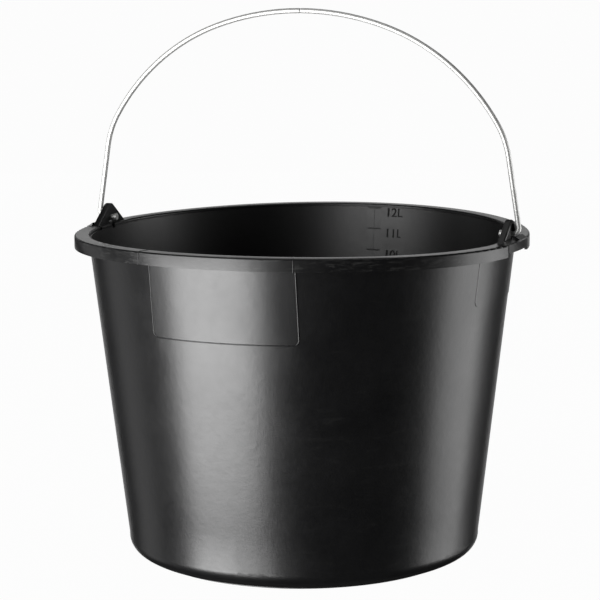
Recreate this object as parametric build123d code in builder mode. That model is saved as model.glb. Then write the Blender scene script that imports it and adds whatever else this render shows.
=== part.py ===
"""Twelve litre moulded bucket with a bent wire bail.

The bucket is one injection moulding: a tapered wall, a floor on a foot ring, a rim turned
down into a skirt, two ears that carry the bail, a label panel and a litre scale.
The bail is one length of wire, bent to shape and headed at both ends inside the ears.

Frame: the origin is on the floor under the middle of the bucket, +Z is up, the two ears
are on the X axis and the label panel faces -Y. Millimetres.
"""

import os
from math import atan, cos, degrees, pi, radians, sin, sqrt, tan

from build123d import *

os.makedirs("parts", exist_ok=True)

# --- Moulding: overall -------------------------------------------------------------------
height = 224.0            # resting surface to the top face of the rim, at the ears
rim_radius = 157.0        # outside of the skirt
rim_overhang = 9.5        # outside of the skirt to the outside of the wall, at the top
base_radius = 121.0       # outside of the wall, carried down to the resting surface
wall = 1.8                # wall thickness, measured level
floor_thickness = 2.4

# --- Moulding: foot and rim --------------------------------------------------------------
foot_radius = 109.4       # outside of the foot ring
foot_width = 2.4
foot_height = 2.0
corner_radius = 10.6      # wall to floor, outside
inside_stop = 35.5        # degrees short of level, where the inside corner meets the floor
rim_thickness = 2.0       # top face of the rim
skirt_height = 8.5        # top face to the lower edge of the skirt
skirt_thickness = 1.8
edge_radius = 1.2         # rounding of the rim's two top edges
ledge_depth = 2.2         # top face down to the small ledge inside the rim
ledge_width = 0.9

# --- Ears --------------------------------------------------------------------------------
ear_half_width = 21.0
ear_height = 14.2         # above the top face of the rim
ear_top_radius = 6.2
ear_inset = 0.6           # the ear's inner face stands this far outside the rim's inner edge
plate_thickness = 2.4
flange_depth = 2.4        # how far the hood round the plate stands out from the plate
hood_thickness = 2.6      # top of the ear to the top of its slot
hood_rounding = 1.6       # outer edge of the hood
plate_rounding = 0.6      # inner edge of the plate
slot_half_width = 5.2
slot_top_half_width = 1.6
gusset_height = 2.2       # foot of the hood, below the path of the wire
gusset_depth = 3.4
block_height = 5.8        # solid block under the ear, top face to its underside
block_proud = 0.4         # the block stands out from the skirt
seam_width = 0.7
seam_depth = 0.5
pocket_depth = 3.6        # rounded pocket in the block, under the bend of the wire
pocket_reach = 3.6        # how far the pocket runs out beyond the hood

# --- Bail --------------------------------------------------------------------------------
wire_diameter = 3.5
hinge_height = 4.7        # hinge axis above the top face of the rim
hinge_clearance = 0.3     # radial, wire in its hole
leg_gap = 4.7             # outside of the hood to where a leg's line meets the hinge axis
leg_lean = 9.0            # degrees from upright
bend_radius = 4.0         # leg to hinge pin, on the middle of the wire
bail_rise = 147.0         # hinge axis to the middle of the wire at the top
crown_radius = 191.0
crown_half_angle = 19.0   # degrees
shoulder_angle = 40.0     # degrees
elbow_radius = 61.0
pin_length = 2.4          # wire beyond the inner face of the ear, up to its head
head_diameter = 4.7
head_length = 2.0
head_rounding = 0.9

# --- Panels and litre scale --------------------------------------------------------------
panel_proud = 0.35
label_half_angle = 20.3   # degrees, seen from above
label_drop = 57.5         # top face of the rim to the panel's lower edge
label_corner = 4.0
pad_half_angle = 15.0     # degrees, thickened wall under each ear
pad_drop = 40.5
pad_corner = 4.0
litre = 1.0e6             # cubic millimetres
full_mark = 12            # litres
low_mark = 2
tick_length = 10.0
tick_width = 1.1
tick_proud = 0.35

# --- Derived -----------------------------------------------------------------------------
neck_radius = rim_radius - rim_overhang     # outside of the wall, at the top of the rim
rim_inner_radius = neck_radius - wall + ledge_width
taper = (neck_radius - base_radius) / height
draft = atan(taper)
axis_z = height + hinge_height
wire_radius = wire_diameter / 2
hole_radius = wire_radius + hinge_clearance
plate_inner_x = rim_inner_radius + ear_inset
plate_outer_x = plate_inner_x + plate_thickness
hood_outer_x = plate_outer_x + flange_depth
leg_half_span = hood_outer_x + leg_gap
floor_top = foot_height + floor_thickness
bead = 0.01               # overlap that joins two solids of the same moulding


def outer_radius(z):
    """Outside radius of the wall at height z."""
    return base_radius + taper * z


def inner_radius(z):
    """Inside radius of the wall at height z."""
    return outer_radius(z) - wall


def litre_height(litres):
    """Height at which the bucket holds this many litres, from the volume of a frustum."""
    floor_cube = inner_radius(floor_top) ** 3
    radius = (floor_cube + 3 * taper * litres * litre / pi) ** (1 / 3)
    return floor_top + (radius - inner_radius(floor_top)) / taper


# Outside corner: an arc tangent to the tapered wall and to the underside of the floor.
corner_z = foot_height + corner_radius
corner_x = outer_radius(corner_z + corner_radius * sin(draft)) - corner_radius * cos(draft)
corner_top = (corner_x + corner_radius * cos(draft), corner_z + corner_radius * sin(draft))
corner_mid_angle = (draft - pi / 2) / 2
corner_mid = (
    corner_x + corner_radius * cos(corner_mid_angle),
    corner_z + corner_radius * sin(corner_mid_angle),
)
# Inside corner: the same centre, one wall thickness less.
inside_corner = corner_radius - wall * cos(draft)
inside_top = (corner_x + inside_corner * cos(draft), corner_z + inside_corner * sin(draft))
inside_foot_angle = radians(inside_stop) - pi / 2
inside_foot = (
    corner_x + inside_corner * cos(inside_foot_angle),
    corner_z + inside_corner * sin(inside_foot_angle),
)
inside_mid_angle = (draft + inside_foot_angle) / 2
inside_mid = (
    corner_x + inside_corner * cos(inside_mid_angle),
    corner_z + inside_corner * sin(inside_mid_angle),
)

# --- Panels that stand proud of the wall -------------------------------------------------
# Each is a thin shell of the wall's own taper, trimmed to a rounded rectangle.


def strip_profile(z_low, z_high, proud):
    """Section of a thin band on the outside of the wall, from z_low to z_high."""
    return [
        (outer_radius(z_low) - bead, z_low),
        (outer_radius(z_low) + proud, z_low),
        (outer_radius(z_high) + proud, z_high),
        (outer_radius(z_high) - bead, z_high),
    ]


def panel_on_wall(plane, half_angle, drop, corner):
    """A raised panel that faces out along the plane's normal and runs up under the rim."""
    low = height - drop
    high = height - rim_thickness
    half_width = outer_radius(high) * sin(radians(half_angle))
    with BuildPart() as panel:
        with BuildSketch(Plane.XZ):
            with BuildLine():
                Polyline(*strip_profile(low, high, panel_proud), close=True)
            make_face()
        revolve(axis=Axis.Z)
        with BuildSketch(plane):
            with Locations((0, (low + high + corner) / 2)):
                RectangleRounded(2 * half_width, high - low + corner, corner)
        extrude(amount=rim_radius, mode=Mode.INTERSECT)
    return panel.part


label_panel = panel_on_wall(Plane.XZ, label_half_angle, label_drop, label_corner)
right_pad = panel_on_wall(Plane.YZ, pad_half_angle, pad_drop, pad_corner)
left_pad = right_pad.mirror(Plane.YZ)

# --- Ear, on the +X side -----------------------------------------------------------------
top_centre = ear_height - ear_top_radius       # of the ear's round top, above the rim

# Plate and hood: a triangle with a rounded top, standing on the rim.
with BuildPart() as hood:
    with BuildSketch(Plane.YZ.offset(plate_inner_x)):
        with Locations((0, height + top_centre)):
            Circle(ear_top_radius)
        with Locations((0, height - rim_thickness / 2)):
            Rectangle(2 * ear_half_width, rim_thickness)
        make_hull()
    extrude(amount=plate_thickness + flange_depth)
    outer_outline = hood.edges().group_by(Axis.X)[-1].sort_by(Axis.Z)[1:]
    fillet(outer_outline, radius=hood_rounding)
    inner_outline = hood.edges().group_by(Axis.X)[0].sort_by(Axis.Z)[1:]
    fillet(inner_outline, radius=plate_rounding)

with BuildPart() as ear:
    # Block under the ear, which fills the channel between wall and skirt.
    with BuildSketch(Plane.XY.offset(height - block_height)):
        Circle(rim_radius + block_proud)
        Circle(outer_radius(height - block_height) - wall / 2, mode=Mode.SUBTRACT)
        with Locations((rim_radius, 0)):
            Rectangle(rim_radius, 2 * ear_half_width, mode=Mode.INTERSECT)
    extrude(amount=block_height)
    block_edges = ear.edges().group_by(Axis.Z)[-1].filter_by(GeomType.CIRCLE)
    fillet(block_edges.sort_by(SortBy.LENGTH)[-1], radius=edge_radius)

    add(hood.part)

    # Slot in the hood, open outwards, where the wire comes in.
    with BuildSketch(Plane.YZ.offset(plate_outer_x)):
        slot_top = height + ear_height - hood_thickness
        with BuildLine():
            Polyline(
                (-slot_half_width, height),
                (-slot_half_width, slot_top - slot_half_width),
                (-slot_top_half_width, slot_top),
                (slot_top_half_width, slot_top),
                (slot_half_width, slot_top - slot_half_width),
                (slot_half_width, height),
                close=True,
            )
        make_face()
    extrude(amount=flange_depth + gusset_depth, mode=Mode.SUBTRACT)

    # Sloped foot on each side of the slot, below the path of the wire.
    with BuildSketch(Plane.XZ.offset(-ear_half_width)):
        with BuildLine():
            Polyline(
                (hood_outer_x - bead, height - bead),
                (hood_outer_x + gusset_depth, height - bead),
                (hood_outer_x - bead, height + gusset_height),
                close=True,
            )
        make_face()
    extrude(amount=ear_half_width - slot_half_width)
    mirror(about=Plane.XZ)

    # Hinge hole through the plate.
    with BuildSketch(Plane.YZ.offset(plate_inner_x)):
        with Locations((0, axis_z)):
            Circle(hole_radius)
    extrude(amount=plate_thickness, mode=Mode.SUBTRACT)

# Rounded pocket in the top of the block, under the bend of the wire.
with BuildPart() as pocket:
    with BuildSketch(Plane.XY.offset(height - pocket_depth)):
        pocket_x = hood_outer_x + pocket_reach - slot_half_width
        with Locations((pocket_x, 0)):
            Circle(slot_half_width)
        with Locations(((plate_outer_x + pocket_x) / 2, 0)):
            Rectangle(pocket_x - plate_outer_x, 2 * slot_half_width)
    extrude(amount=pocket_depth + gusset_height)

# --- Bucket ------------------------------------------------------------------------------
with BuildPart() as bucket_body:
    # Wall, floor, foot ring and rim: one section turned about the axis.
    with BuildSketch(Plane.XZ):
        with BuildLine():
            skirt_inner = rim_radius - skirt_thickness
            rim_underside = height - rim_thickness
            ledge_z = height - ledge_depth
            Polyline(
                (0, foot_height),
                (foot_radius - foot_width, foot_height),
                (foot_radius - foot_width, 0),
                (foot_radius, 0),
                (foot_radius, foot_height),
                (corner_x, foot_height),
            )
            ThreePointArc((corner_x, foot_height), corner_mid, corner_top)
            Polyline(
                corner_top,
                (outer_radius(rim_underside), rim_underside),
                (skirt_inner, rim_underside),
                (skirt_inner, height - skirt_height),
                (rim_radius, height - skirt_height),
                (rim_radius, height),
                (rim_inner_radius, height),
                (rim_inner_radius, ledge_z),
                (inner_radius(ledge_z), ledge_z),
                inside_top,
            )
            ThreePointArc(inside_top, inside_mid, inside_foot)
            Polyline(inside_foot, (inside_foot[0], floor_top), (0, floor_top), (0, foot_height))
        make_face()
    revolve(axis=Axis.Z)
    top_edges = bucket_body.edges().group_by(Axis.Z)[-1]
    fillet(top_edges, radius=edge_radius)

    # Under each ear the skirt is shorter: the block closes it higher up.
    with BuildSketch(Plane.XY.offset(height - skirt_height)):
        Circle(rim_radius + block_proud)
        Circle(skirt_inner - bead, mode=Mode.SUBTRACT)
        Rectangle(2 * (rim_radius + block_proud), 2 * ear_half_width, mode=Mode.INTERSECT)
    extrude(amount=skirt_height - block_height, mode=Mode.SUBTRACT)

    # Ears with their pockets, then the panels.
    add(ear.part)
    add(ear.part.mirror(Plane.YZ))
    add(pocket.part, mode=Mode.SUBTRACT)
    add(pocket.part.mirror(Plane.YZ), mode=Mode.SUBTRACT)
    add(label_panel)
    add(right_pad)
    add(left_pad)

    # Seam grooves down the skirt at both sides of each block.
    with BuildSketch(Plane.XY.offset(height - skirt_height)):
        seam_y = ear_half_width + seam_width / 2
        seam_x = sqrt(rim_radius**2 - seam_y**2)
        for side in (-1, 1):
            with Locations((side * seam_x, seam_y), (side * seam_x, -seam_y)):
                Rectangle(2 * seam_depth, seam_width)
    extrude(amount=skirt_height - edge_radius, mode=Mode.SUBTRACT)

    # Litre scale: short bars on the inside of the wall at the back.
    for litres in range(low_mark, full_mark + 1):
        mark_z = litre_height(litres)
        with BuildSketch(Plane.XZ.offset(-inner_radius(mark_z) + tick_proud)):
            with Locations((0, mark_z)):
                Rectangle(tick_length, tick_width)
        extrude(amount=-(tick_proud + wall / 2))

bucket_body.part.label = "bucket_body"

# --- Bail --------------------------------------------------------------------------------
# Half the wire is crown, shoulder, elbow, leg and hinge pin, all tangent to each other.
# The shoulder's radius and the leg's length follow from the rise and the span.
turn_1 = radians(crown_half_angle)
turn_2 = turn_1 + radians(shoulder_angle)
turn_3 = pi / 2 - radians(leg_lean)
known_run = crown_radius * sin(turn_1) + elbow_radius * (sin(turn_3) - sin(turn_2))
known_fall = crown_radius * (1 - cos(turn_1)) + elbow_radius * (cos(turn_2) - cos(turn_3))
shoulder_run = sin(turn_2) - sin(turn_1)
shoulder_fall = cos(turn_1) - cos(turn_2)
lean_run = tan(radians(leg_lean))
shoulder_radius = (leg_half_span - known_run - (bail_rise - known_fall) * lean_run) / (
    shoulder_run - shoulder_fall * lean_run
)
elbow_turn = degrees(turn_3 - turn_2)
head_x = plate_inner_x - pin_length

with BuildPart() as wire_bail:
    with BuildLine(Plane.XZ) as centreline:
        crown = JernArc((0, axis_z + bail_rise), (1, 0), crown_radius, -crown_half_angle)
        shoulder = JernArc(crown @ 1, crown % 1, shoulder_radius, -shoulder_angle)
        elbow = JernArc(shoulder @ 1, shoulder % 1, elbow_radius, -elbow_turn)
        corner = (leg_half_span, axis_z)
        FilletPolyline(elbow @ 1, corner, (head_x, axis_z), radius=bend_radius)
    with BuildSketch(Plane(origin=centreline.wire() @ 0, z_dir=centreline.wire() % 0)):
        Circle(wire_radius)
    sweep()
    # Head, upset on the end of the pin after it is through the ear.
    with BuildSketch(Plane.YZ.offset(head_x - head_length)):
        with Locations((0, axis_z)):
            Circle(head_diameter / 2)
    extrude(amount=head_length)
    fillet(wire_bail.edges().group_by(Axis.X)[0], radius=head_rounding)
    mirror(about=Plane.YZ)

wire_bail.part.label = "wire_bail"

for piece in (bucket_body, wire_bail):
    export_step(piece.part, f"parts/{piece.part.label}.step")

print(f"full mark {litre_height(full_mark):.1f} mm up, shoulder radius {shoulder_radius:.1f} mm")
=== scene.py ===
# %% [markdown]
# # A black bucket with a wire bail
#
# The bucket is one plastic moulding and the bail is one bent wire, so the whole object is
# two pieces. Their exact shapes come ready-made from the shared frame, in metres, with +Z
# up, the two ears on the X axis and the label panel facing -Y. This lesson gives them
# their looks: a rim that sags a little, raised lines and numbers, moulded plastic,
# zinc-plated wire, soft light and a camera.

# %% Load the frame
from math import cos, pi, radians, sin, sqrt, tan

import bpy
from mathutils import Euler, Matrix, Vector


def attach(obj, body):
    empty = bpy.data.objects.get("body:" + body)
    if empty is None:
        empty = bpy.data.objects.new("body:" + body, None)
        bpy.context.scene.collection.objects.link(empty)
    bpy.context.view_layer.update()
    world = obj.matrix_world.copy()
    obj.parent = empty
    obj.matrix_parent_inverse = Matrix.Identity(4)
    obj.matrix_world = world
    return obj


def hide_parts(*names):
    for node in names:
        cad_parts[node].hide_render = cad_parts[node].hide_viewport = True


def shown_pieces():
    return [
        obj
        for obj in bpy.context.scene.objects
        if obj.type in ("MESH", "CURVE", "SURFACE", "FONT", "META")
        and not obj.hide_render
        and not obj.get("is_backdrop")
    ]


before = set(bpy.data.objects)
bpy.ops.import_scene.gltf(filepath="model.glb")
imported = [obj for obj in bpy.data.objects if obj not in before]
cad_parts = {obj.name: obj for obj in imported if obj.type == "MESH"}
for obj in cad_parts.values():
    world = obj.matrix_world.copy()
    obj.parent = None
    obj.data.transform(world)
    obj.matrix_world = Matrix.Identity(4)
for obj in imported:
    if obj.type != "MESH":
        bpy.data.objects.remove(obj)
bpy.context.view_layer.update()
cad_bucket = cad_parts["bucket_body"]
cad_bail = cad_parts["wire_bail"]

# %% [markdown]
# ## Sizes
#
# A few sizes of the moulding are needed again here, to lay lines and numbers on its wall.
# The wall is a cone, so its radius grows evenly with height.

# %% Sizes
rim_height = 0.224
base_radius = 0.121
neck_radius = 0.1475
rim_radius = 0.157
wall_thickness = 0.0018
skirt_height = 0.0085
taper = (neck_radius - base_radius) / rim_height


def outer_radius(z):
    """Outside radius of the wall at height z."""
    return base_radius + taper * z


def inner_radius(z):
    """Inside radius of the wall at height z."""
    return outer_radius(z) - wall_thickness


print(f"wall leans out {taper * 100:.1f} mm in every 100 mm")

# %% [markdown]
# ## Floor
#
# A studio stands a black thing on a sweep of bright white paper, lit so evenly that there is
# almost no shadow. It could be a big plane under many lights. Here the plane glows by
# itself, which gives the same even white with no lights of its own. The glossy plastic
# doesn't see it, as if the paper in front of the bucket were kept dark.

# %% Floor
floor_size = 80.0
floor_glow = 0.975

bpy.ops.object.select_all(action="DESELECT")
bpy.ops.mesh.primitive_plane_add(size=floor_size, location=(0.0, 0.0, 0.0))
floor = bpy.context.object
floor.name = "studio_floor"
floor.visible_glossy = False
floor.visible_shadow = False
floor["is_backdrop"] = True

floor_paper = bpy.data.materials.new("floor_paper")
floor_paper.use_nodes = True
paper = floor_paper.node_tree.nodes["Principled BSDF"]
paper.inputs["Base Color"].default_value = (0.01, 0.01, 0.01, 1.0)
paper.inputs["Roughness"].default_value = 0.9
paper.inputs["Specular IOR Level"].default_value = 0.0
paper.inputs["Emission Color"].default_value = (1.0, 1.0, 1.0, 1.0)
paper.inputs["Emission Strength"].default_value = floor_glow
floor.data.materials.append(floor_paper)
print(floor.name, floor_size, "m square")

# %% [markdown]
# ## Sagging rim
#
# Moulded polyethylene never stays quite flat: the wire pulls on the two ears, and the rim
# is about three millimetres lower there than at the front and the back. The ears have to
# stay where the hinge is, so the front and the back are lifted instead. A copy of the
# exact moulding is merged into one skin, and its points are raised by a smooth rule that
# is nothing at the ears and nothing below the lower wall.

# %% Sag
sag = 0.003
sag_start = 0.05


def lift_front_and_back(piece):
    """Raises the points of a piece of the moulding, most at the rim's front and back."""
    for point in piece.data.vertices:
        x, y, z = point.co
        share = max(0.0, min(1.0, (z - sag_start) / (rim_height - sag_start)))
        around = y * y / max(x * x + y * y, 1e-9)
        point.co.z += sag * around * share * share * (3.0 - 2.0 * share)
    piece.data.update()


print("the rim's front and back go up by", sag * 1000.0, "mm")


# %% Small helpers


def own_up(piece):
    """Says which body a piece of the moulding belongs to, and prints its face count."""
    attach(piece, "bucket")
    print(piece.name, len(piece.data.polygons), "faces")


def only(piece):
    """Makes this the only selected object, and the active one."""
    bpy.ops.object.select_all(action="DESELECT")
    piece.select_set(True)
    bpy.context.view_layer.objects.active = piece


# %% Moulding
merge_distance = 0.000002
smooth_under = radians(32.0)

moulding = bpy.data.objects.new("bucket_moulding", cad_bucket.data.copy())
bpy.context.collection.objects.link(moulding)
only(moulding)
bpy.ops.object.mode_set(mode="EDIT")
bpy.ops.mesh.select_all(action="SELECT")
bpy.ops.mesh.remove_doubles(threshold=merge_distance)
bpy.ops.object.mode_set(mode="OBJECT")
if moulding.data.has_custom_normals:
    bpy.ops.mesh.customdata_custom_splitnormals_clear()
bpy.ops.object.shade_smooth_by_angle(angle=smooth_under)
lift_front_and_back(moulding)
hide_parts("bucket_body")
own_up(moulding)

# %% [markdown]
# ## Raised lines
#
# Where two parts of the mould meet, a thin line of plastic stands up. One runs round the
# label panel and one climbs the rim's skirt at each side of it. They could be bump in the
# material, but the edge of a real line catches the light, so each is a curve through a few
# places on the wall, given a round section, made a mesh and lifted with the moulding.

# %% Line tool


def raised_line(name, places, half_width):
    """A thin bead of plastic that follows these places, half sunk in the wall."""
    path = bpy.data.curves.new(name, "CURVE")
    path.dimensions = "3D"
    path.bevel_depth = half_width
    path.bevel_resolution = 2
    path.use_fill_caps = True
    run = path.splines.new("POLY")
    run.points.add(len(places) - 1)
    for point, place in zip(run.points, places):
        point.co = (place[0], place[1], place[2], 1.0)
    line = bpy.data.objects.new(name, path)
    bpy.context.collection.objects.link(line)
    only(line)
    bpy.ops.object.convert(target="MESH")
    line = bpy.context.object
    bpy.ops.object.shade_smooth()
    lift_front_and_back(line)
    own_up(line)


# %% Line round the label panel
panel_half = 0.0511
panel_low = rim_height - 0.0575
panel_high = rim_height - skirt_height
panel_proud = 0.00035
panel_corner = 0.004
panel_line_half = 0.0004
corner_steps = 6
across_steps = 8


def on_front(x, z, proud):
    """The place on the front of the wall at this x and height, this far proud of it."""
    return (x, -sqrt((outer_radius(z) + proud) ** 2 - x * x), z)


right_side = [(panel_half, panel_high), (panel_half, (panel_high + panel_low) / 2.0)]
for step in range(corner_steps + 1):
    turn = radians(90.0 / corner_steps * step)
    x = panel_half - panel_corner + panel_corner * cos(turn)
    z = panel_low + panel_corner - panel_corner * sin(turn)
    right_side.append((x, z))
for step in range(1, across_steps):
    right_side.append(((panel_half - panel_corner) * (1.0 - step / across_steps), panel_low))
right_side.append((0.0, panel_low))
left_side = [(-x, z) for x, z in reversed(right_side[:-1])]
outline = [on_front(x, z, panel_proud) for x, z in right_side + left_side]
raised_line("label_panel_line", outline, panel_line_half)

# %% Lines on the skirt
line_turn = radians(20.0)
skirt_line_half = 0.0003
over_the_rim = (
    (0.1480, rim_height),
    (0.1555, rim_height),
    (0.1567, rim_height - 0.0004),
    (rim_radius, rim_height - 0.0013),
    (rim_radius, rim_height - skirt_height),
)
for side, word in ((-1, "left"), (1, "right")):
    places = []
    for radius, z in over_the_rim:
        places.append((side * radius * sin(line_turn), -radius * cos(line_turn), z))
    raised_line(f"skirt_line_{word}", places, skirt_line_half)

# %% [markdown]
# ## Litre scale
#
# The bars of the scale are part of the moulding. The numbers beside them are raised too,
# in plain figures. They could be drawn as curves, but a text object has good figures ready:
# each is given a little depth, drawn out sideways to a cutter's width, and laid against
# the inside of the wall, which leans by the mould's draft. The line that joins the bars is
# as fine as a scratch.

# %% Litre scale
litre = 0.001
floor_top = 0.0044
first_mark = 2
last_mark = 12
number_size = 0.0091
number_stretch = 1.06
number_depth = 0.0005
number_edge = 0.0001
number_sink = 0.0001
number_hang = 0.0060
number_turn = radians(3.5)
scale_line_half = 0.00012


def litre_height(litres):
    """Height at which the bucket holds this many litres, from the volume of a frustum."""
    floor_cube = inner_radius(floor_top) ** 3
    radius = (floor_cube + 3.0 * taper * litres * litre / pi) ** (1.0 / 3.0)
    return floor_top + (radius - inner_radius(floor_top)) / taper


for litres in range(first_mark, last_mark + 1):
    z = litre_height(litres) - number_hang
    radius = inner_radius(z) - number_sink
    place = (radius * sin(number_turn), radius * cos(number_turn), z)
    bpy.ops.object.select_all(action="DESELECT")
    bpy.ops.object.text_add(location=place, rotation=(pi / 2.0 - taper, 0.0, -number_turn))
    number = bpy.context.object
    number.name = f"litre_number_{litres}"
    number.data.body = f"{litres}L"
    number.data.size = number_size
    number.data.extrude = number_depth
    number.data.bevel_depth = number_edge
    number.scale = (number_stretch, 1.0, 1.0)
    bpy.ops.object.convert(target="MESH")
    bpy.ops.object.transform_apply(location=True, rotation=True, scale=True)
    lift_front_and_back(number)
    own_up(number)

scale_ends = (litre_height(first_mark), litre_height(last_mark))
scale_line = [(0.0, inner_radius(z), z) for z in scale_ends]
raised_line("litre_scale_line", scale_line, scale_line_half)
print(f"the full mark is {scale_ends[1] * 1000.0:.1f} mm up")

# %% [markdown]
# ## Shared surface effects
#
# Two effects are used by more than one finish, so each is a node group. They could be
# copied into each material, but then a change would have to be made three times. Mottle
# is a soft cloudy change, from 0 to 1, which no moulded or plated surface is without.
# Scuffs are sparse pale rubbed marks that run along the surface. A group gives out a mask only, and
# the material decides what the mask does.

# %% Node tools


def add_node(tree, kind, **inputs):
    """A new node in the tree, with values for some of its inputs."""
    node = tree.nodes.new(kind)
    for name, value in inputs.items():
        node.inputs[name.replace("_", " ")].default_value = value
    return node


def work_out(tree, operation, first, second):
    """A Math node on a socket and a number or another socket."""
    node = tree.nodes.new("ShaderNodeMath")
    node.operation = operation
    tree.links.new(first, node.inputs[0])
    if isinstance(second, (int, float)):
        node.inputs[1].default_value = second
    else:
        tree.links.new(second, node.inputs[1])
    return node.outputs[0]


def spread(tree, value, low, high, to_low, to_high):
    """Maps a value smoothly from one range to another."""
    node = add_node(
        tree,
        "ShaderNodeMapRange",
        From_Min=low,
        From_Max=high,
        To_Min=to_low,
        To_Max=to_high,
    )
    tree.links.new(value, node.inputs["Value"])
    return node.outputs["Result"]


def new_group(name, numbers):
    """An empty group with a Vector input, these number inputs and a Mask output."""
    group = bpy.data.node_groups.new(name, "ShaderNodeTree")
    group.interface.new_socket("Vector", in_out="INPUT", socket_type="NodeSocketVector")
    for number in numbers:
        group.interface.new_socket(number, in_out="INPUT", socket_type="NodeSocketFloat")
    group.interface.new_socket("Mask", in_out="OUTPUT", socket_type="NodeSocketFloat")
    return group, group.nodes.new("NodeGroupInput"), group.nodes.new("NodeGroupOutput")


# %% Mottle group
mottle, gate_in, gate_out = new_group("mottle", ["Scale", "Contrast"])
cloud = add_node(mottle, "ShaderNodeTexNoise", Detail=4.0, Roughness=0.6, Distortion=0.3)
mottle.links.new(gate_in.outputs["Vector"], cloud.inputs["Vector"])
mottle.links.new(gate_in.outputs["Scale"], cloud.inputs["Scale"])
centred = work_out(mottle, "SUBTRACT", cloud.outputs["Fac"], 0.5)
stretched = work_out(mottle, "MULTIPLY", centred, gate_in.outputs["Contrast"])
lifted = work_out(mottle, "ADD", stretched, 0.5)
mottle.links.new(spread(mottle, lifted, 0.0, 1.0, 0.0, 1.0), gate_out.inputs["Mask"])
print("group", mottle.name, len(mottle.nodes), "nodes")

# %% Scuffs group
scuffs, gate_in, gate_out = new_group("scuffs", ["Scale", "Amount"])
squash = add_node(scuffs, "ShaderNodeMapping", Scale=(0.5, 0.5, 2.6))
scuffs.links.new(gate_in.outputs["Vector"], squash.inputs["Vector"])
rubs = add_node(scuffs, "ShaderNodeTexNoise", Detail=6.0, Roughness=0.72, Distortion=0.8)
scuffs.links.new(squash.outputs["Vector"], rubs.inputs["Vector"])
scuffs.links.new(gate_in.outputs["Scale"], rubs.inputs["Scale"])
more = work_out(scuffs, "ADD", rubs.outputs["Fac"], gate_in.outputs["Amount"])
scuffs.links.new(spread(scuffs, more, 0.58, 0.80, 0.0, 1.0), gate_out.inputs["Mask"])
print("group", scuffs.name, len(scuffs.nodes), "nodes")


def use_group(tree, group, place, **inputs):
    """Puts a group in a material and gives its Mask."""
    node = tree.nodes.new("ShaderNodeGroup")
    node.node_tree = group
    tree.links.new(place, node.inputs["Vector"])
    for name, value in inputs.items():
        node.inputs[name].default_value = value
    return node.outputs["Mask"]


def blend(tree, mask, low, high):
    """A colour between two, or between a socket and a colour, by the mask."""
    node = tree.nodes.new("ShaderNodeMix")
    node.data_type = "RGBA"
    tree.links.new(mask, node.inputs["Factor"])
    for socket, colour in ((node.inputs[6], low), (node.inputs[7], high)):
        if isinstance(colour, tuple):
            socket.default_value = colour
        else:
            tree.links.new(colour, socket)
    return node.outputs[2]


# %% [markdown]
# ## Black polyethylene
#
# The plastic is black all through, with a satin skin. The outside is the smoothest, and
# the inside, which was against the core of the mould, is duller. The rim is what gets
# knocked, so it carries most of the pale scuffs. How far a point is from the middle of the
# bucket tells the three regions apart: inside, wall and rim.

# %% Plastic
rim_starts = (0.1490, 0.1515)
inside_starts = (-0.0014, -0.0007)
rim_wear_share = 0.6
wall_wear_share = 0.12
inside_duller = 0.10
wear_duller = 0.12
scuff_relief = 0.4

plastic = bpy.data.materials.new("black_polyethylene")
plastic.use_nodes = True
tree = plastic.node_tree
shader = tree.nodes["Principled BSDF"]
where = tree.nodes.new("ShaderNodeTexCoord").outputs["Object"]

apart = tree.nodes.new("ShaderNodeSeparateXYZ")
tree.links.new(where, apart.inputs["Vector"])
x_squared = work_out(tree, "MULTIPLY", apart.outputs["X"], apart.outputs["X"])
y_squared = work_out(tree, "MULTIPLY", apart.outputs["Y"], apart.outputs["Y"])
radius = work_out(tree, "SQRT", work_out(tree, "ADD", x_squared, y_squared), 0.0)
wall_here = work_out(tree, "MULTIPLY", apart.outputs["Z"], taper)
depth = work_out(tree, "SUBTRACT", radius, wall_here)
depth = work_out(tree, "SUBTRACT", depth, base_radius)

on_rim = spread(tree, radius, *rim_starts, 0.0, 1.0)
inside = spread(tree, depth, *inside_starts, 1.0, 0.0)

soft_mottle = use_group(tree, mottle, where, Scale=28.0, Contrast=1.6)
fine_mottle = use_group(tree, mottle, where, Scale=230.0, Contrast=1.8)
wall_scuffs = use_group(tree, scuffs, where, Scale=75.0, Amount=0.0)
rim_scuffs = use_group(tree, scuffs, where, Scale=190.0, Amount=0.06)
rim_scuffs = work_out(tree, "MULTIPLY", rim_scuffs, on_rim)
rim_wear = work_out(tree, "MULTIPLY", rim_scuffs, rim_wear_share)
wall_wear = work_out(tree, "MULTIPLY", wall_scuffs, wall_wear_share)
wear = work_out(tree, "MAXIMUM", wall_wear, rim_wear)

deep_black = (0.0016, 0.0016, 0.0018, 1.0)
pale_black = (0.003, 0.003, 0.0032, 1.0)
rubbed_grey = (0.03, 0.03, 0.029, 1.0)
body_colour = blend(tree, soft_mottle, deep_black, pale_black)
worn_colour = blend(tree, wear, body_colour, rubbed_grey)
tree.links.new(worn_colour, shader.inputs["Base Color"])

satin = spread(tree, soft_mottle, 0.0, 1.0, 0.29, 0.34)
grain = spread(tree, fine_mottle, 0.0, 1.0, -0.02, 0.03)
duller = work_out(tree, "MULTIPLY", inside, inside_duller)
rubbed = work_out(tree, "MULTIPLY", wear, wear_duller)
skin = work_out(tree, "ADD", satin, grain)
roughness = work_out(tree, "ADD", skin, work_out(tree, "ADD", duller, rubbed))
tree.links.new(roughness, shader.inputs["Roughness"])

bump = add_node(tree, "ShaderNodeBump", Strength=0.10, Distance=0.0004)
shallow = work_out(tree, "MULTIPLY", wear, scuff_relief)
tree.links.new(work_out(tree, "ADD", fine_mottle, shallow), bump.inputs["Height"])
tree.links.new(bump.outputs["Normal"], shader.inputs["Normal"])

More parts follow.
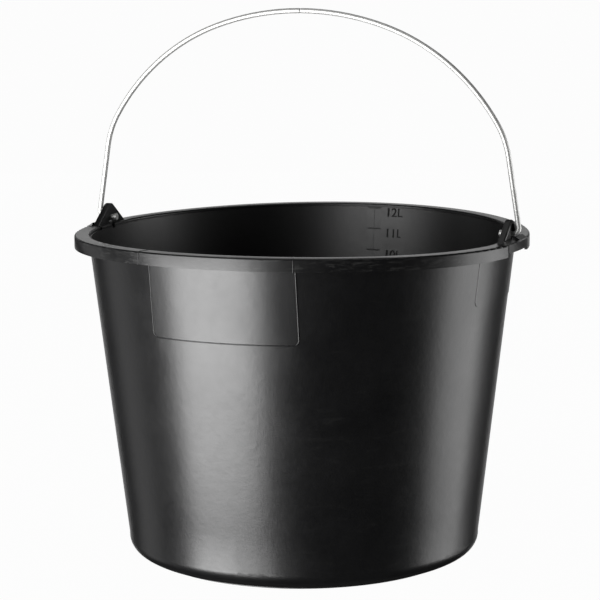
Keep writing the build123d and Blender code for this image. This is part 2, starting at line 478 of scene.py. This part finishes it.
plastic_pieces = [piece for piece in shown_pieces() if piece.name != cad_bail.name]
for piece in plastic_pieces:
    piece.data.materials.clear()
    piece.data.materials.append(plastic)
print("plastic on", len(plastic_pieces), "pieces")

# %% [markdown]
# ## Numbers cut in the mould
#
# The numbers are cut into the steel core one by one, and the cutter leaves a rougher face
# than the polish round it. So they are the same black plastic, but duller. The second
# material also weakens their shine so they look darker than the wall, and that is painted shade.

# %% Number plastic
number_plastic_painted_shade = bpy.data.materials.new("number_polyethylene_painted_shade")
number_plastic_painted_shade.use_nodes = True
tree = number_plastic_painted_shade.node_tree
shader = tree.nodes["Principled BSDF"]
# The weak shine set here is painted shade: it darkens the numbers against the wall.
shader.inputs["Specular IOR Level"].default_value = 0.2
where = tree.nodes.new("ShaderNodeTexCoord").outputs["Object"]
cutter_marks = use_group(tree, mottle, where, Scale=900.0, Contrast=1.6)
tree.links.new(spread(tree, cutter_marks, 0.0, 1.0, 0.50, 0.62), shader.inputs["Roughness"])
cut_colour = blend(tree, cutter_marks, deep_black, pale_black)
tree.links.new(cut_colour, shader.inputs["Base Color"])
numbers = [piece for piece in plastic_pieces if piece.name.startswith("litre_number_")]
for number in numbers:
    number.data.materials.clear()
    number.data.materials.append(number_plastic_painted_shade)
print("cut plastic on", len(numbers), "numbers")

# %% [markdown]
# ## Zinc-plated wire
#
# Bright zinc is a metal with a slightly cloudy skin: light and dark grey patches a few
# millimetres long, and tiny dull specks. The plating isn't a mirror, so part of it is
# left as a plain grey under the metal.

# %% Zinc
zinc = bpy.data.materials.new("zinc_plated_wire")
zinc.use_nodes = True
tree = zinc.node_tree
shader = tree.nodes["Principled BSDF"]
shader.inputs["Metallic"].default_value = 0.75
where = tree.nodes.new("ShaderNodeTexCoord").outputs["Object"]
patches = use_group(tree, mottle, where, Scale=140.0, Contrast=1.5)
specks = use_group(tree, scuffs, where, Scale=520.0, Amount=0.0)
dull_zinc = (0.47, 0.47, 0.46, 1.0)
clean_zinc = (0.64, 0.64, 0.63, 1.0)
speck_grey = (0.40, 0.40, 0.40, 1.0)
zinc_colour = blend(tree, patches, dull_zinc, clean_zinc)
zinc_colour = blend(tree, specks, zinc_colour, speck_grey)
tree.links.new(zinc_colour, shader.inputs["Base Color"])
tree.links.new(spread(tree, patches, 0.0, 1.0, 0.54, 0.44), shader.inputs["Roughness"])
bump = add_node(tree, "ShaderNodeBump", Strength=0.06, Distance=0.0001)
tree.links.new(patches, bump.inputs["Height"])
tree.links.new(bump.outputs["Normal"], shader.inputs["Normal"])
for slot in cad_bail.material_slots:
    slot.material = zinc
print("zinc on", cad_bail.name)

# %% [markdown]
# ## Light
#
# Black plastic hardly shows its own colour: what is seen on it is the lights. So the air
# is nearly dark, and tall soft boxes stand round the bucket, each making one upright band
# of shine. The widest stands to the left and is brightest low down. They reach below the
# floor's level, because the wall leans and mirrors what is lower than itself. A weak round
# one overhead shows the inside to whoever looks down into it.

# %% Air
bpy.context.scene.view_settings.view_transform = "Standard"
world = bpy.data.worlds.new("studio_air")
world.use_nodes = True
bpy.context.scene.world = world
air = world.node_tree.nodes["Background"]
air.inputs["Color"].default_value = (1.0, 1.0, 1.0, 1.0)
air.inputs["Strength"].default_value = 0.01
print("world", world.name)

# %% Soft boxes
camera_azimuth = radians(22.2)


def softbox(name, azimuth, half_angle, low, high, distance, brightness):
    """An upright soft light that faces the bucket. Azimuth is from the camera, in degrees."""
    turn = camera_azimuth + radians(azimuth)
    data = bpy.data.lights.new(name, "AREA")
    data.shape = "RECTANGLE"
    data.size = 2.0 * distance * tan(radians(half_angle))
    data.size_y = high - low
    data.energy = brightness * pi * data.size * data.size_y
    lamp = bpy.data.objects.new(name, data)
    bpy.context.collection.objects.link(lamp)
    place = Vector((distance * sin(turn), -distance * cos(turn), (low + high) / 2.0))
    lamp.location = place
    aim = Vector((0.0, 0.0, place.z)) - place
    lamp.rotation_euler = aim.to_track_quat("-Z", "Y").to_euler()
    lamp.visible_camera = False


# Each row: name, azimuth, half angle, lowest, highest, distance, brightness.
soft_boxes = (
    ("left_softbox", -48.5, 24.5, -0.55, 0.05, 1.3, 13.5),
    ("left_softbox_top", -48.5, 24.5, 0.05, 0.75, 1.3, 6.0),
    ("right_softbox", 98.0, 18.0, -0.55, 0.75, 1.3, 3.2),
    ("left_wall", -115.0, 12.0, -0.75, 0.75, 1.3, 0.5),
    ("back_wall", 180.0, 25.0, -1.2, 1.4, 2.6, 0.7),
)
for row in soft_boxes:
    softbox(*row)
print(len(soft_boxes), "upright soft boxes")

# %% Ceiling light
ceiling_height = 1.8
ceiling_size = 1.5
ceiling_brightness = 0.6
ceiling_data = bpy.data.lights.new("ceiling_softbox", "AREA")
ceiling_data.shape = "DISK"
ceiling_data.size = ceiling_size
ceiling_data.energy = ceiling_brightness * pi * pi * ceiling_size**2 / 4.0
ceiling = bpy.data.objects.new("ceiling_softbox", ceiling_data)
bpy.context.collection.objects.link(ceiling)
ceiling.location = (0.0, 0.0, ceiling_height)
ceiling.visible_camera = False
print(len(bpy.data.lights), "lights")

# %% [markdown]
# ## Camera
#
# The camera stands to the right of the label panel, a little above the rim, with a long
# lens, so the mouth is a flat oval and both ears show. It could be aimed with a Track To
# constraint, but its place and turns are written out here, so nothing is left to guess.

# %% Camera
camera_distance = 1.570
camera_height = 0.4259
camera_pitch = radians(9.05)
camera_roll = radians(-0.41)
side_step = 0.0017
sensor_width = 36.0
lens = 137.07

forward = Vector((-sin(camera_azimuth), cos(camera_azimuth), 0.0))
right = Vector((cos(camera_azimuth), sin(camera_azimuth), 0.0))
view_data = bpy.data.cameras.new("studio_camera")
view_data.sensor_width = sensor_width
view_data.lens = lens
camera = bpy.data.objects.new("studio_camera", view_data)
bpy.context.collection.objects.link(camera)
camera.location = -camera_distance * forward - side_step * right
camera.location.z = camera_height
turn = Euler((radians(90.0) - camera_pitch, 0.0, camera_azimuth)).to_matrix()
camera.rotation_euler = (turn @ Matrix.Rotation(camera_roll, 3, "Z")).to_euler()
bpy.context.scene.camera = camera
print("camera", camera_distance, "m away, lens", lens, "mm")
